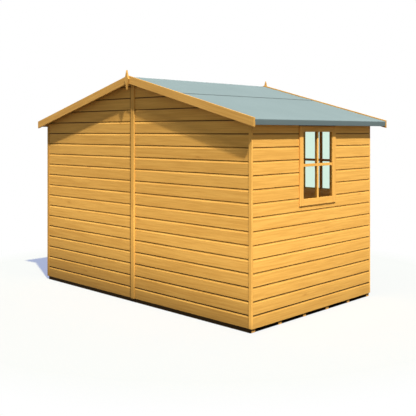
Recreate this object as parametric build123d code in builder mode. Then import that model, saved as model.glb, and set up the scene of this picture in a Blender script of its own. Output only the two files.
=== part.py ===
from build123d import *

import os
from math import cos, radians, sin, tan

# A timber garden shed with an apex roof. The ridge runs along Y, +X is the window side, -Y the blank gable
# and +Y the gable with the doors. The origin is under the middle of the roof, on the ground.

# Walls, over the outer faces of the cladding
wall_width = 2990
wall_length = 1790
cladding_thickness = 12
panel_gap = 2

# Wall frames: the same sawn timber for studs and rails
timber_width = 44
timber_depth = 28
rear_bays = 3

# Floor
bearer_height = 34
bearer_width = 44
bearer_count = 6
rear_bearer_recess = 9
front_bearer_recess = 2
deck_thickness = 11

# Strips on the corners, a little proud of the boards, and over the joint of the two rear panels
corner_strip_width = 33
corner_strip_thickness = 17
joint_strip_width = 50
joint_strip_thickness = 12
joint_strip_offset = 7

# Roof: the plumb heights are measured from the top edges of the bargeboards
roof_pitch = 15
ridge_height = 2167
eave_overhang = 82
rear_overhang = 74
front_overhang = 179
barge_thickness = 18
barge_height = 75
barge_upstand = 11
felt_thickness = 2
felt_fold = 48
felt_lap_line = 690
felt_lap = 75
roof_board_thickness = 12
batten_depth = 30
batten_width = 44
purlin_depth = 44
purlin_place_share = 0.5
ridge_beam_depth = 70

# Finials: flat four-pointed boards with hollowed sides
finial_height = 186
finial_width = 58
finial_thickness = 18
finial_rise = 50
finial_hollow_share = 0.41

# Windows: a planted frame, and a sheet of glass behind it
sight_width = 428
sight_height = 592
sight_head_drop = 109
window_frame_width = 62
window_frame_foot = 60
window_frame_thickness = 11
glass_thickness = 3
glazing_rebate = 12
glazing_clearance = 2
side_window_offset = 6
window_corner_space = 272
window_door_space = 58
side_stud_setback = 18

# Double door between the front windows: two boarded leaves with ledges and braces inside
door_head_drop = 41
door_gap = 4
ledge_height = 90
ledge_thickness = 20
ledge_inset = 40
ledge_place_shares = (0.12, 0.5, 0.88)
brace_width = 75
hinge_reach = 300
hinge_strap_width = 32
hinge_tip_width = 18
hinge_plate_width = 30
hinge_plate_height = 110
hinge_thickness = 3
knuckle_diameter = 11
knuckle_height = 60
button_length = 96
button_width = 30
button_thickness = 16
button_place_shares = (0.3, 0.7)

# Worked out from the sizes above
half_width = wall_width / 2
inner_half = half_width - cladding_thickness
gable_half = half_width - corner_strip_width
roof_length = rear_overhang + wall_length + front_overhang
roof_rear = -roof_length / 2
roof_front = roof_length / 2
wall_rear = roof_rear + rear_overhang
wall_front = wall_rear + wall_length
eave_half = half_width + eave_overhang
wall_foot = bearer_height
deck_top = bearer_height + deck_thickness
plumb = 1 / cos(radians(roof_pitch))
felt_rise = felt_thickness * plumb
board_top = barge_upstand + felt_rise
board_foot = board_top + roof_board_thickness * plumb
batten_foot = board_foot + batten_depth * plumb
boards_depth = felt_thickness + roof_board_thickness
frame_rear = wall_rear + cladding_thickness
frame_front = wall_front - cladding_thickness
room_rear = frame_rear + timber_depth
room_front = frame_front - timber_depth
room_half = inner_half - timber_depth
rail_top = deck_top + timber_width
wall_top = ridge_height - board_foot - half_width * tan(radians(roof_pitch))
opening_width = sight_width + 2 * (glazing_rebate + glazing_clearance)
opening_height = sight_height + 2 * (glazing_rebate + glazing_clearance)
window_middle = wall_top - sight_head_drop - sight_height / 2
opening_foot = window_middle - opening_height / 2
frame_outer_width = sight_width + 2 * window_frame_width
frame_outer_height = sight_height + window_frame_width + window_frame_foot
frame_middle = (window_frame_width - window_frame_foot) / 2
side_window_place = (wall_rear + wall_front) / 2 + side_window_offset
front_window_place = gable_half - window_corner_space - frame_outer_width / 2
door_half = front_window_place - frame_outer_width / 2 - window_door_space
door_head = wall_top - door_head_drop
sides = (("left", -1), ("right", 1))

os.makedirs("parts", exist_ok=True)


def keep(piece, name):
    """Labels a finished piece and writes it to its own file."""
    piece.part.label = name
    export_step(piece.part, f"parts/{name}.step")


def roof_line(x, drop):
    """Height at x of a line along the roof, a plumb drop below the top edges of the bargeboards."""
    return ridge_height - drop - abs(x) * tan(radians(roof_pitch))


def eave_point(inset, depth):
    """A point at the right eave, which is cut square: up the slope from its edge and below the felt."""
    slope = radians(roof_pitch)
    x = eave_half - inset * cos(slope) - depth * sin(slope)
    z = roof_line(eave_half, barge_upstand) + inset * sin(slope) - depth * cos(slope)
    return x, z


def on_side(corners, sign):
    """Corners drawn on the right slope, turned over to the left one where the sign is negative."""
    return [(sign * x, z) for x, z in corners]


def slope_band(x_from, x_to, drop_from, drop_to):
    """Corners of a piece that lies along one slope and has plumb ends."""
    return [
        (x_from, roof_line(x_from, drop_from)),
        (x_to, roof_line(x_to, drop_from)),
        (x_to, roof_line(x_to, drop_to)),
        (x_from, roof_line(x_from, drop_to)),
    ]


def under_roof(x_from, x_to, foot, drop):
    """Corners of an upright piece with a level foot and a top cut to the slope."""
    return [
        (x_from, foot),
        (x_to, foot),
        (x_to, roof_line(x_to, drop)),
        (x_from, roof_line(x_from, drop)),
    ]


def gable_top(x_from, x_to, foot, drop):
    """Corners of an upright piece across the ridge, with its top cut to both slopes."""
    return [
        (x_from, foot),
        (x_to, foot),
        (x_to, roof_line(x_to, drop)),
        (0, roof_line(0, drop)),
        (x_from, roof_line(x_from, drop)),
    ]


def rectangle(x_from, x_to, z_from, z_to):
    """Corners of a plain upright rectangle."""
    return [(x_from, z_from), (x_to, z_from), (x_to, z_to), (x_from, z_to)]


def prism(corners, y_from, y_to):
    """Adds an outline, drawn in X and Z, extruded along Y."""
    with BuildSketch(Plane.XZ.offset(-y_from)) as outline:
        with BuildLine():
            Polyline(*corners, close=True)
        make_face()
    extrude(outline.sketch, amount=y_from - y_to)


def window_plane(name):
    """The outer face of a wall at the middle of one of its windows, facing outwards."""
    places = {
        "left": ((-half_width, side_window_place), (0, -1, 0), (-1, 0, 0)),
        "right": ((half_width, side_window_place), (0, 1, 0), (1, 0, 0)),
        "front_left": ((-front_window_place, wall_front), (-1, 0, 0), (0, 1, 0)),
        "front_right": ((front_window_place, wall_front), (-1, 0, 0), (0, 1, 0)),
    }
    place, along, outward = places[name]
    return Plane(origin=(*place, window_middle), x_dir=along, z_dir=outward)


def cut_window(name):
    """Cuts the window's opening through the cladding."""
    with BuildSketch(window_plane(name)) as hole:
        Rectangle(opening_width, opening_height)
    extrude(hole.sketch, amount=cladding_thickness, both=True, mode=Mode.SUBTRACT)


# Floor: bearers across the shed and a deck on them
first_bearer = wall_rear + rear_bearer_recess + bearer_width / 2
last_bearer = wall_front - front_bearer_recess - bearer_width / 2
bearer_spacing = (last_bearer - first_bearer) / (bearer_count - 1)
with BuildPart() as floor_bearers:
    with BuildSketch() as bearer_plan:
        with Locations((0, (first_bearer + last_bearer) / 2)):
            with GridLocations(0, bearer_spacing, 1, bearer_count):
                Rectangle(2 * inner_half, bearer_width)
    extrude(amount=bearer_height)
keep(floor_bearers, "floor_bearers")

with BuildPart() as floor_deck:
    with BuildSketch(Plane.XY.offset(bearer_height)) as deck_plan:
        with Locations((0, (frame_rear + frame_front) / 2)):
            Rectangle(2 * inner_half, frame_front - frame_rear)
    extrude(amount=deck_thickness)
keep(floor_deck, "floor_deck")

# Rear gable: two framed panels that meet under a cover strip
for side, sign in sides:
    with BuildPart() as rear_panel:
        panel_face = under_roof(sign * panel_gap / 2, sign * gable_half, wall_foot, board_foot)
        prism(panel_face, wall_rear, frame_rear)
    keep(rear_panel, f"rear_{side}_panel")

rail_drop = board_foot + timber_width * plumb
rear_bay = (inner_half - panel_gap / 2 - timber_width) / rear_bays
with BuildPart() as rear_studs:
    for side, sign in sides:
        for bay in range(rear_bays + 1):
            stud_from = panel_gap / 2 + bay * rear_bay
            stud_to = stud_from + timber_width
            prism(under_roof(sign * stud_from, sign * stud_to, rail_top, rail_drop), frame_rear, room_rear)
keep(rear_studs, "rear_studs")

with BuildPart() as rear_rails:
    for side, sign in sides:
        rail_from = sign * panel_gap / 2
        rail_to = sign * inner_half
        prism(rectangle(rail_from, rail_to, deck_top, rail_top), frame_rear, room_rear)
        prism(slope_band(rail_from, rail_to, board_foot, rail_drop), frame_rear, room_rear)
keep(rear_rails, "rear_rails")

with BuildPart() as rear_centre_strip:
    strip_from = -joint_strip_width / 2 - joint_strip_offset
    strip_face = gable_top(strip_from, strip_from + joint_strip_width, wall_foot, batten_foot)
    prism(strip_face, wall_rear - joint_strip_thickness, wall_rear)
keep(rear_centre_strip, "rear_centre_strip")

# Side walls: one framed panel each, with a window
side_rail_foot = roof_line(inner_half, board_foot) - timber_width
side_stud = opening_width / 2 + side_stud_setback
for side, sign in sides:
    with BuildPart() as wall_panel:
        wall_face = under_roof(sign * inner_half, sign * half_width, wall_foot, board_foot)
        prism(wall_face, frame_rear, frame_front)
        cut_window(side)
    keep(wall_panel, f"{side}_wall_panel")

    stud_face = rectangle(sign * room_half, sign * inner_half, rail_top, side_rail_foot)
    with BuildPart() as wall_studs:
        prism(stud_face, room_rear, room_rear + timber_width)
        prism(stud_face, side_window_place - side_stud - timber_width, side_window_place - side_stud)
        prism(stud_face, side_window_place + side_stud, side_window_place + side_stud + timber_width)
        prism(stud_face, room_front - timber_width, room_front)
    keep(wall_studs, f"{side}_studs")

    rail_face = rectangle(sign * room_half, sign * inner_half, deck_top, rail_top)
    sill_face = rectangle(sign * room_half, sign * inner_half, opening_foot - timber_width, opening_foot)
    plate_face = under_roof(sign * room_half, sign * inner_half, side_rail_foot, board_foot)
    with BuildPart() as wall_rails:
        prism(rail_face, room_rear, room_front)
        prism(sill_face, side_window_place - side_stud, side_window_place + side_stud)
        prism(plate_face, room_rear, room_front)
    keep(wall_rails, f"{side}_rails")

# Front gable: a framed panel with a window on each side of the doors, and a panel over them
for side, sign in sides:
    with BuildPart() as front_panel:
        prism(under_roof(sign * door_half, sign * gable_half, wall_foot, board_foot), frame_front, wall_front)
        cut_window(f"front_{side}")
    keep(front_panel, f"front_{side}_panel")

with BuildPart() as front_head_panel:
    prism(gable_top(-door_half, door_half, door_head, board_foot), frame_front, wall_front)
keep(front_head_panel, "front_head_panel")

front_stud_places = (
    door_half,
    front_window_place - opening_width / 2 - timber_width,
    front_window_place + opening_width / 2,
    inner_half - timber_width,
)
with BuildPart() as front_studs:
    for side, sign in sides:
        for stud_from in front_stud_places:
            stud_to = stud_from + timber_width
            prism(under_roof(sign * stud_from, sign * stud_to, rail_top, rail_drop), room_front, frame_front)
keep(front_studs, "front_studs")

with BuildPart() as front_rails:
    for side, sign in sides:
        rail_to = sign * inner_half
        window_from = sign * (front_window_place - opening_width / 2)
        window_to = sign * (front_window_place + opening_width / 2)
        sill_rail = rectangle(window_from, window_to, opening_foot - timber_width, opening_foot)
        prism(rectangle(sign * door_half, rail_to, deck_top, rail_top), room_front, frame_front)
        prism(slope_band(sign * panel_gap / 2, rail_to, board_foot, rail_drop), room_front, frame_front)
        prism(sill_rail, room_front, frame_front)
    prism(rectangle(-door_half, door_half, door_head, door_head + timber_width), room_front, frame_front)
keep(front_rails, "front_rails")

# Windows
window_names = ("left", "right", "front_left", "front_right")
for name in window_names:
    with BuildPart() as window_frame:
        with BuildSketch(window_plane(name)) as ring:
            with Locations((0, frame_middle)):
                Rectangle(frame_outer_width, frame_outer_height)
            Rectangle(sight_width, sight_height, mode=Mode.SUBTRACT)
        extrude(amount=window_frame_thickness)
    keep(window_frame, f"{name}_window_frame")

with BuildPart() as window_glass:
    for name in window_names:
        with BuildSketch(window_plane(name)) as sheet:
            Rectangle(sight_width + 2 * glazing_rebate, sight_height + 2 * glazing_rebate)
        extrude(amount=-glass_thickness)
keep(window_glass, "window_glass")

# Double door
leaf_foot = wall_foot + door_gap
leaf_head = door_head - door_gap
leaf_height = leaf_head - leaf_foot
leaf_from = door_gap / 2
leaf_to = door_half - door_gap
for side, sign in sides:
    with BuildPart() as door_leaf:
        prism(rectangle(sign * leaf_from, sign * leaf_to, leaf_foot, leaf_head), frame_front, wall_front)
    keep(door_leaf, f"{side}_door")

ledge_places = [leaf_foot + share * leaf_height for share in ledge_place_shares]
ledge_from = leaf_from + ledge_inset
ledge_to = leaf_to - ledge_inset
ledge_back = frame_front - ledge_thickness
with BuildPart() as door_ledges:
    for side, sign in sides:
        for place in ledge_places:
            ledge_face = rectangle(
                sign * ledge_from, sign * ledge_to, place - ledge_height / 2, place + ledge_height / 2
            )
            prism(ledge_face, ledge_back, frame_front)
keep(door_ledges, "door_ledges")

with BuildPart() as door_braces:
    for side, sign in sides:
        for lower, upper in zip(ledge_places, ledge_places[1:]):
            brace_foot = lower + ledge_height / 2
            brace_head = upper - ledge_height / 2
            brace_face = [
                (sign * ledge_to, brace_foot),
                (sign * (ledge_to - brace_width), brace_foot),
                (sign * ledge_from, brace_head),
                (sign * (ledge_from + brace_width), brace_head),
            ]
            prism(brace_face, ledge_back, frame_front)
keep(door_braces, "door_braces")

with BuildPart() as door_hinges:
    for side, sign in sides:
        for place in ledge_places:
            pin = sign * (door_half - door_gap / 2)
            strap_end = sign * (door_half - door_gap / 2 - hinge_reach)
            plate_end = sign * (door_half - door_gap / 2 + hinge_plate_width)
            strap = [
                (pin, place - hinge_strap_width / 2),
                (pin, place + hinge_strap_width / 2),
                (strap_end, place + hinge_tip_width / 2),
                (strap_end, place - hinge_tip_width / 2),
            ]
            plate = rectangle(pin, plate_end, place - hinge_plate_height / 2, place + hinge_plate_height / 2)
            prism(strap, wall_front, wall_front + hinge_thickness)
            prism(plate, wall_front, wall_front + hinge_thickness)
            with Locations((pin, wall_front + knuckle_diameter / 2, place)):
                Cylinder(knuckle_diameter / 2, knuckle_height)
keep(door_hinges, "door_hinges")

with BuildPart() as door_buttons:
    for share in button_place_shares:
        with BuildSketch(Plane.XZ.offset(-wall_front)) as button_face:
            with Locations((0, leaf_foot + share * leaf_height)):
                SlotOverall(button_length, button_width)
        extrude(amount=-button_thickness)
keep(door_buttons, "door_buttons")

# Corner strips, nailed to the frames: the boards of the gables end against them
with BuildPart() as corner_strips:
    for side, sign in sides:
        strip_face = under_roof(sign * gable_half, sign * half_width, wall_foot, board_foot)
        prism(strip_face, frame_rear - corner_strip_thickness, frame_rear)
        prism(strip_face, frame_front, frame_front + corner_strip_thickness)
keep(corner_strips, "corner_strips")

# Roof boards and the battens under them
boards_rear = roof_rear + barge_thickness
boards_front = roof_front - barge_thickness
boards_face = [
    (0, roof_line(0, board_top)),
    eave_point(felt_thickness, felt_thickness),
    eave_point(felt_thickness, boards_depth),
    (0, roof_line(0, board_foot)),
]
verge_face = [
    (0, roof_line(0, board_foot)),
    eave_point(felt_thickness + batten_width, boards_depth),
    eave_point(felt_thickness + batten_width, boards_depth + batten_depth),
    (0, roof_line(0, batten_foot)),
]
eave_face = [
    eave_point(felt_thickness + batten_width, boards_depth),
    eave_point(felt_thickness, boards_depth),
    eave_point(felt_thickness, boards_depth + batten_depth),
    eave_point(felt_thickness + batten_width, boards_depth + batten_depth),
]
for side, sign in sides:
    with BuildPart() as roof_boards:
        prism(on_side(boards_face, sign), boards_rear, boards_front)
    keep(roof_boards, f"{side}_roof_boards")

    with BuildPart() as verge_battens:
        prism(on_side(verge_face, sign), boards_rear, boards_rear + batten_width)
        prism(on_side(verge_face, sign), boards_front - batten_width, boards_front)
    keep(verge_battens, f"{side}_verge_battens")

with BuildPart() as eave_battens:
    for side, sign in sides:
        prism(on_side(eave_face, sign), boards_rear, boards_front)
keep(eave_battens, "eave_battens")

purlin_inside = purlin_place_share * inner_half - timber_width / 2
with BuildPart() as purlins:
    for side, sign in sides:
        purlin_face = slope_band(
            sign * purlin_inside,
            sign * (purlin_inside + timber_width),
            board_foot,
            board_foot + purlin_depth * plumb,
        )
        prism(purlin_face, room_rear, room_front)
keep(purlins, "purlins")

with BuildPart() as ridge_beam:
    beam_foot = roof_line(0, board_foot + ridge_beam_depth)
    beam_half = timber_width / 2
    prism(gable_top(-beam_half, beam_half, beam_foot, board_foot), room_rear, room_front)
keep(ridge_beam, "ridge_beam")

# Felt: a sheet on each slope, folded down over the eave, and a ridge sheet that laps over both
lap_start = felt_lap_line - felt_lap
felt_section = [
    (lap_start, roof_line(lap_start, board_top)),
    (lap_start, roof_line(lap_start, barge_upstand)),
    eave_point(0, 0),
    eave_point(0, felt_fold),
    eave_point(felt_thickness, felt_fold),
    eave_point(felt_thickness, felt_thickness),
]
for side, sign in sides:
    with BuildPart() as slope_felt:
        prism(on_side(felt_section, sign), boards_rear, boards_front)
    keep(slope_felt, f"{side}_felt")

lap_step = lap_start - felt_rise
with BuildPart() as ridge_felt:
    right_half = [
        (0, roof_line(0, board_top)),
        (0, roof_line(0, barge_upstand)),
        (lap_step, roof_line(lap_step, barge_upstand)),
        (lap_step, roof_line(lap_step, barge_upstand - felt_rise)),
        (felt_lap_line, roof_line(felt_lap_line, barge_upstand - felt_rise)),
        (felt_lap_line, roof_line(felt_lap_line, barge_upstand)),
        (lap_start, roof_line(lap_start, barge_upstand)),
        (lap_start, roof_line(lap_start, board_top)),
    ]
    prism(right_half, boards_rear, boards_front)
    mirror(about=Plane.YZ)
keep(ridge_felt, "ridge_felt")

# Bargeboards: one along each slope at both gables, cut plumb at the ridge and the eave
for side, sign in sides:
    barge_face = slope_band(0, sign * eave_half, 0, barge_height)
    with BuildPart() as bargeboards:
        prism(barge_face, roof_rear, boards_rear)
        prism(barge_face, boards_front, roof_front)
    keep(bargeboards, f"{side}_bargeboards")

# Finials on the outer faces of the bargeboards, over the mitre
finial_top = ridge_height + finial_rise
finial_foot = finial_top - finial_height
finial_waist = roof_line(0, barge_height / 2)
hollow = finial_hollow_share * finial_width / 2
side_point = (finial_width / 2, finial_waist)
lower_hollow = (hollow, (finial_foot + finial_waist) / 2)
upper_hollow = (hollow, (finial_top + finial_waist) / 2)
with BuildPart() as finials:
    for finial_back in (roof_rear, roof_front + finial_thickness):
        with BuildSketch(Plane.XZ.offset(-finial_back)) as finial_face:
            with BuildLine():
                ThreePointArc((0, finial_foot), lower_hollow, side_point)
                ThreePointArc(side_point, upper_hollow, (0, finial_top))
                mirror(about=Plane.YZ)
            make_face()
        extrude(amount=finial_thickness)
keep(finials, "finials")
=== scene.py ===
import math
import random

import bmesh
import bpy
from mathutils import Matrix, Vector, noise


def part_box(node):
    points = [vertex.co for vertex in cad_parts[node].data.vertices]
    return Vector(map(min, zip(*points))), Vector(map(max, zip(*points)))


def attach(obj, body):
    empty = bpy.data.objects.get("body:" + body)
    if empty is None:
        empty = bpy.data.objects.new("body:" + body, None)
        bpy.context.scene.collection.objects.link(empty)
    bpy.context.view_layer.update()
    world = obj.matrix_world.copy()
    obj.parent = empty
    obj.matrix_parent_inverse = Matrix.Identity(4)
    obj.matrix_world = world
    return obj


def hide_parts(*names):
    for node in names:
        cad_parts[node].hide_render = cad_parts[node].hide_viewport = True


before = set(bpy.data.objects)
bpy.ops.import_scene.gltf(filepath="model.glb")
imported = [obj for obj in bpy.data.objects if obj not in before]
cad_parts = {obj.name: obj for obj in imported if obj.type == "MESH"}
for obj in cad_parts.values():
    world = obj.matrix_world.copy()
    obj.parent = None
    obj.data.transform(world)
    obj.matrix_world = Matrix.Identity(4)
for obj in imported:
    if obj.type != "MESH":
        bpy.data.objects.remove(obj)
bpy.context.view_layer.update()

# Floor bearers
# Six lengths of sawn softwood laid across the shed, straight on the ground. They carry the floor deck and
# keep the boards out of the wet, and their ends show under the side walls.
arris = 0.0018
draw = random.Random(15)


class Shade:
    """A shader socket that can stand in sums. Every other node comes from node()."""

    def __init__(self, tree, socket=None):
        self.tree = tree
        self.socket = socket

    def node(self, kind, settings, sockets, output=0):
        """Adds a node with its settings and inputs, and gives one of its outputs."""
        made = self.tree.nodes.new(kind)
        for name, value in settings.items():
            if name == "stops":
                ramp = made.color_ramp.elements
                ramp[0].position, ramp[0].color = value[0]
                ramp[1].position, ramp[1].color = value[-1]
                for place, colour in value[1:-1]:
                    ramp.new(place).color = colour
            else:
                setattr(made, name, value)
        for name, value in sockets.items():
            if isinstance(value, Shade):
                self.tree.links.new(value.socket, made.inputs[name])
            else:
                made.inputs[name].default_value = value
        return Shade(self.tree, made.outputs[output]) if made.outputs else None

    def other(self, output):
        """Another output of the same node."""
        return Shade(self.tree, self.socket.node.outputs[output])

    def maths(self, operation, first, second):
        return self.node("ShaderNodeMath", {"operation": operation}, {0: first, 1: second})

    def size(self):
        """The value without its sign."""
        return self.maths("ABSOLUTE", self, 0.0)

    def limited(self):
        """The value held between 0 and 1."""
        return self.node("ShaderNodeMath", {"operation": "ADD", "use_clamp": True}, {0: self, 1: 0.0})

    def along(self, direction):
        """How far a place lies in one direction, times the direction's length."""
        settings = {"operation": "DOT_PRODUCT"}
        return self.node("ShaderNodeVectorMath", settings, {0: self, 1: direction}, "Value")

    def blend(self, first, second):
        """A mix of two colours, with this share of the second."""
        sockets = {"Factor": self, "A": first, "B": second}
        return self.node("ShaderNodeMix", {"data_type": "RGBA"}, sockets, "Result")

    def __add__(self, other):
        return self.maths("ADD", self, other)

    def __sub__(self, other):
        return self.maths("SUBTRACT", self, other)

    def __mul__(self, other):
        return self.maths("MULTIPLY", self, other)

    def __rsub__(self, other):
        return self.maths("SUBTRACT", other, self)

    __radd__ = __add__
    __rmul__ = __mul__


def tint(red, green, blue):
    """A colour read as 0 to 255 on a screen, as Blender's linear values."""
    def linear(value):
        share = value / 255
        return share / 12.92 if share <= 0.04045 else ((share + 0.055) / 1.055) ** 2.4
    return linear(red), linear(green), linear(blue), 1.0


def toned(colour, strength, red_part, green_part, blue_part):
    """A colour made darker or paler, with a cast of its own."""
    red, green, blue, solid = colour
    return red * strength * red_part, green * strength * green_part, blue * strength * blue_part, solid


def new_finish(name):
    """An empty material and the shade that its nodes grow from."""
    finish = bpy.data.materials.new(name)
    finish.use_nodes = True
    finish.node_tree.nodes.clear()
    return finish, Shade(finish.node_tree)


def close_finish(shade, colour, roughness, normal, shine=0.12):
    """Ends a material in one plain surface shader. Dry wood and felt have little shine."""
    sockets = {"Base Color": colour, "Roughness": roughness, "Normal": normal, "Specular IOR Level": shine}
    surface = shade.node("ShaderNodeBsdfPrincipled", {}, sockets)
    shade.node("ShaderNodeOutputMaterial", {}, {"Surface": surface})


def timber_finish(name, colour, streak, roughness, relief, grain=None, shade_gradient=None, strip_shadow=None):
    """Softwood: long streaks along the grain, fine pores, a few knots, and each board a little its own tone.

    Boards carry their own grain coordinates. A piece without them gives its grain as a turn of the object's.
    The shade gradient paints shade into a wall's colour: darker towards the foot, under the eave and away
    from the sun, with darker grooves and a lighter band in the eave's shadow, but not on the sunlit hollows.
    The strip shadow is where a painted shadow line lies along the rear wall."""
    streak_part = 2.0
    pore_part = 1.9
    gloss_part = 0.2
    tone_part = 0.12
    knot_part = 0.4
    knot_stops = [(0.03, (1, 1, 1, 1)), (0.06, (0.3, 0.3, 0.3, 1)), (0.12, (0, 0, 0, 1))]
    painted_shade_part = 0.33
    low_groove_shade = 2.8
    shadow_band_groove_shade = 1.75
    shadow_band_fade = 0.1
    shadow_band_relief = 0.65
    lit_scoop_part = 0.85
    strip_shadow_strength = 1.75
    strip_shadow_width = 0.010
    black = (0.0, 0.0, 0.0, 1.0)
    finish, shade = new_finish(name)
    if grain is None:
        place = shade.node("ShaderNodeAttribute", {"attribute_name": "grain"}, {}, "Vector")
        tone = shade.node("ShaderNodeAttribute", {"attribute_name": "tone"}, {}, "Fac")
    else:
        place = shade.node("ShaderNodeTexCoord", {}, {}, "Object")
        place = shade.node("ShaderNodeMapping", {}, {"Vector": place, "Rotation": grain})
        tone = shade.node("ShaderNodeTexNoise", {}, {"Vector": place, "Scale": 1.5, "Detail": 0.0}) - 0.5
    wander = shade.node("ShaderNodeMapping", {}, {"Vector": place, "Scale": (2.6, 62, 62)})
    streaks = shade.node("ShaderNodeTexNoise", {}, {"Vector": wander, "Scale": 1.0, "Detail": 3.0})
    lines = shade.node("ShaderNodeMapping", {}, {"Vector": place, "Scale": (5.0, 420, 420)})
    fine = {"Vector": lines, "Scale": 1.0, "Detail": 3.0, "Roughness": 0.6}
    pores = shade.node("ShaderNodeTexNoise", {}, fine)
    spots = shade.node("ShaderNodeMapping", {}, {"Vector": place, "Scale": (1.7, 7, 7)})
    knots = shade.node("ShaderNodeTexVoronoi", {}, {"Vector": spots, "Scale": 1.0}, "Distance")
    knot = shade.node("ShaderNodeValToRGB", {"stops": knot_stops}, {"Fac": knots})
    depth = (streaks - 0.5) * streak_part + (pores - 0.5) * pore_part + tone * tone_part + 0.5
    dark = toned(colour, streak, 1.0, 0.96, 0.9)
    pale = toned(colour, 2 - streak, 1.0, 1.03, 1.08)
    body = shade.node("ShaderNodeValToRGB", {"stops": [(0.1, dark), (0.9, pale)]}, {"Fac": depth})
    mixed = (knot * knot_part).blend(body, toned(colour, 1.0, 0.5, 0.36, 0.3))
    # Painted shade: the attribute read here darkens the colour towards black where a piece carries it.
    grime = shade.node("ShaderNodeAttribute", {"attribute_name": "grime"}, {}, "Fac")
    # Painted shade in the grooves: deeper near the foot and in the band of the eave's shadow.
    if shade_gradient:
        place = shade.node("ShaderNodeTexCoord", {}, {}, "Object")
        height = place.along((0, 0, 1)) * (place.along(shade_gradient["stretch"]) + 1)
        low_shade = (1 - height * (1 / shade_gradient["foot_reach"])).limited()
        eave_share = (height - shade_gradient["eave_level"]).limited()
        mirrored = shade.node("ShaderNodeVectorMath", {"operation": "ABSOLUTE"}, {0: place}, "Vector")
        level = mirrored.along(shade_gradient["roof_fall"])
        shadow_band = ((level - shade_gradient["shadow_band_level"]) * (1 / shadow_band_fade)).limited()
        grime = grime * (shadow_band * shadow_band_groove_shade + low_shade * low_groove_shade + 1)
    # A painted shadow: a dark line on the rear gable just left of the joint strip, where the strip's shadow
    # falls.
    if strip_shadow:
        beside = (place.along((1, 0, 0)) - strip_shadow).size()
        at_rear = place.along((0, -10, 0)).limited()
        grime = grime + (1 - beside * (1 / strip_shadow_width)).limited() * at_rear * strip_shadow_strength
    mixed = (grime * painted_shade_part).blend(mixed, black)
    # Painted shade: darker towards the foot, under the eave and away from the sun, lighter again in the band
    # of the eave's shadow, and left off the sunlit hollows of the boards.
    if shade_gradient:
        washed = shade.node("ShaderNodeAttribute", {"attribute_name": "washed"}, {}, "Fac")
        eave_shade = eave_share * shade_gradient["eave_shade"] * (1 - shadow_band * shadow_band_relief)
        sunward = place.along(shade_gradient["sunward_slope"]) + shade_gradient["sunward_middle"]
        kept = sunward * (1 - low_shade * low_shade * shade_gradient["foot_shade"] - eave_shade)
        mixed = ((1 - kept) * (1 - washed * lit_scoop_part)).blend(mixed, black)
    bump = shade.node("ShaderNodeBump", {}, {"Strength": relief, "Distance": 0.001, "Height": pores})
    close_finish(shade, mixed, roughness + (streaks - 0.5) * gloss_part, bump)
    return finish


def set_grain(bm, along):
    """Gives a board its own grain coordinates, with the grain along one axis, and its own tone."""
    grain = bm.verts.layers.float_vector.new("grain")
    tone = bm.verts.layers.float.new("tone")
    shift = Vector((draw.uniform(0, 40), draw.uniform(0, 40), draw.uniform(0, 40)))
    shade_of_board = draw.uniform(-1, 1)
    for vert in bm.verts:
        turned = Vector((vert.co[along], vert.co[(along + 1) % 3], vert.co[(along + 2) % 3]))
        vert[grain] = turned + shift
        vert[tone] = shade_of_board


def join(whole, board):
    """Adds a finished board to the piece that it belongs to."""
    carrier = bpy.data.meshes.new("carrier")
    board.to_mesh(carrier)
    board.free()
    whole.from_mesh(carrier)
    bpy.data.meshes.remove(carrier)


def soften(bm, edges, offset):
    """Rounds edges off a little."""
    bmesh.ops.bevel(bm, geom=edges, offset=offset, segments=2, profile=0.5, affect="EDGES", material=-1)


def add_timber(whole, low, high, along, placing=None):
    """Adds a planed timber between two corners, with softened arrises, moved into place if it isn't level."""
    board = bmesh.new()
    low = Vector(low)
    high = Vector(high)
    bmesh.ops.create_cube(board, size=1)
    bmesh.ops.scale(board, vec=high - low, verts=board.verts)
    bmesh.ops.translate(board, vec=(low + high) / 2, verts=board.verts)
    soften(board, board.edges[:], arris)
    set_grain(board, along)
    if placing:
        bmesh.ops.transform(board, matrix=placing, verts=board.verts)
    join(whole, board)


def stand(name, bm, finish, slot, *nodes):
    """Makes a piece of the shed from a finished bmesh, in place of the nodes that it stands for."""
    mesh = bpy.data.meshes.new(name)
    bmesh.ops.recalc_face_normals(bm, faces=bm.faces[:])
    bm.to_mesh(mesh)
    bm.free()
    mesh.materials.append(finish)
    piece = bpy.data.objects.new(name, mesh)
    bpy.context.scene.collection.objects.link(piece)
    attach(piece, "root")
    if nodes:
        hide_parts(*nodes)
    return piece


bearer_low, bearer_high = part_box("floor_bearers")
bearer_count = 6
bearer_width = 0.044
bearer_painted_shade = 2.85
sawn = {"streak": 0.82, "roughness": 0.8, "relief": 0.5}
bearer_step = (bearer_high.y - bearer_low.y - bearer_width) / (bearer_count - 1)
sawn_timber = timber_finish("sawn_timber", tint(206, 152, 78), **sawn)
bearers = bmesh.new()
for number in range(bearer_count):
    rear = bearer_low.y + number * bearer_step
    far_corner = (bearer_high.x, rear + bearer_width, bearer_high.z)
    add_timber(bearers, (bearer_low.x, rear, bearer_low.z), far_corner, 0)
# Painted shade: the bearers are made nearly black where they stand in the shade under the walls, and only the
# lower half of each end, which the sun reaches, keeps its colour.
low_shade = bearers.verts.layers.float.new("grime")
for vert in bearers.verts:
    sunlit_end = abs(vert.co.x) > bearer_high.x - arris / 2 and vert.co.z < bearer_high.z / 2
    vert[low_shade] = 0.0 if sunlit_end else bearer_painted_shade
stand("bearers", bearers, sawn_timber, "floor_timber", "floor_bearers")

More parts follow.
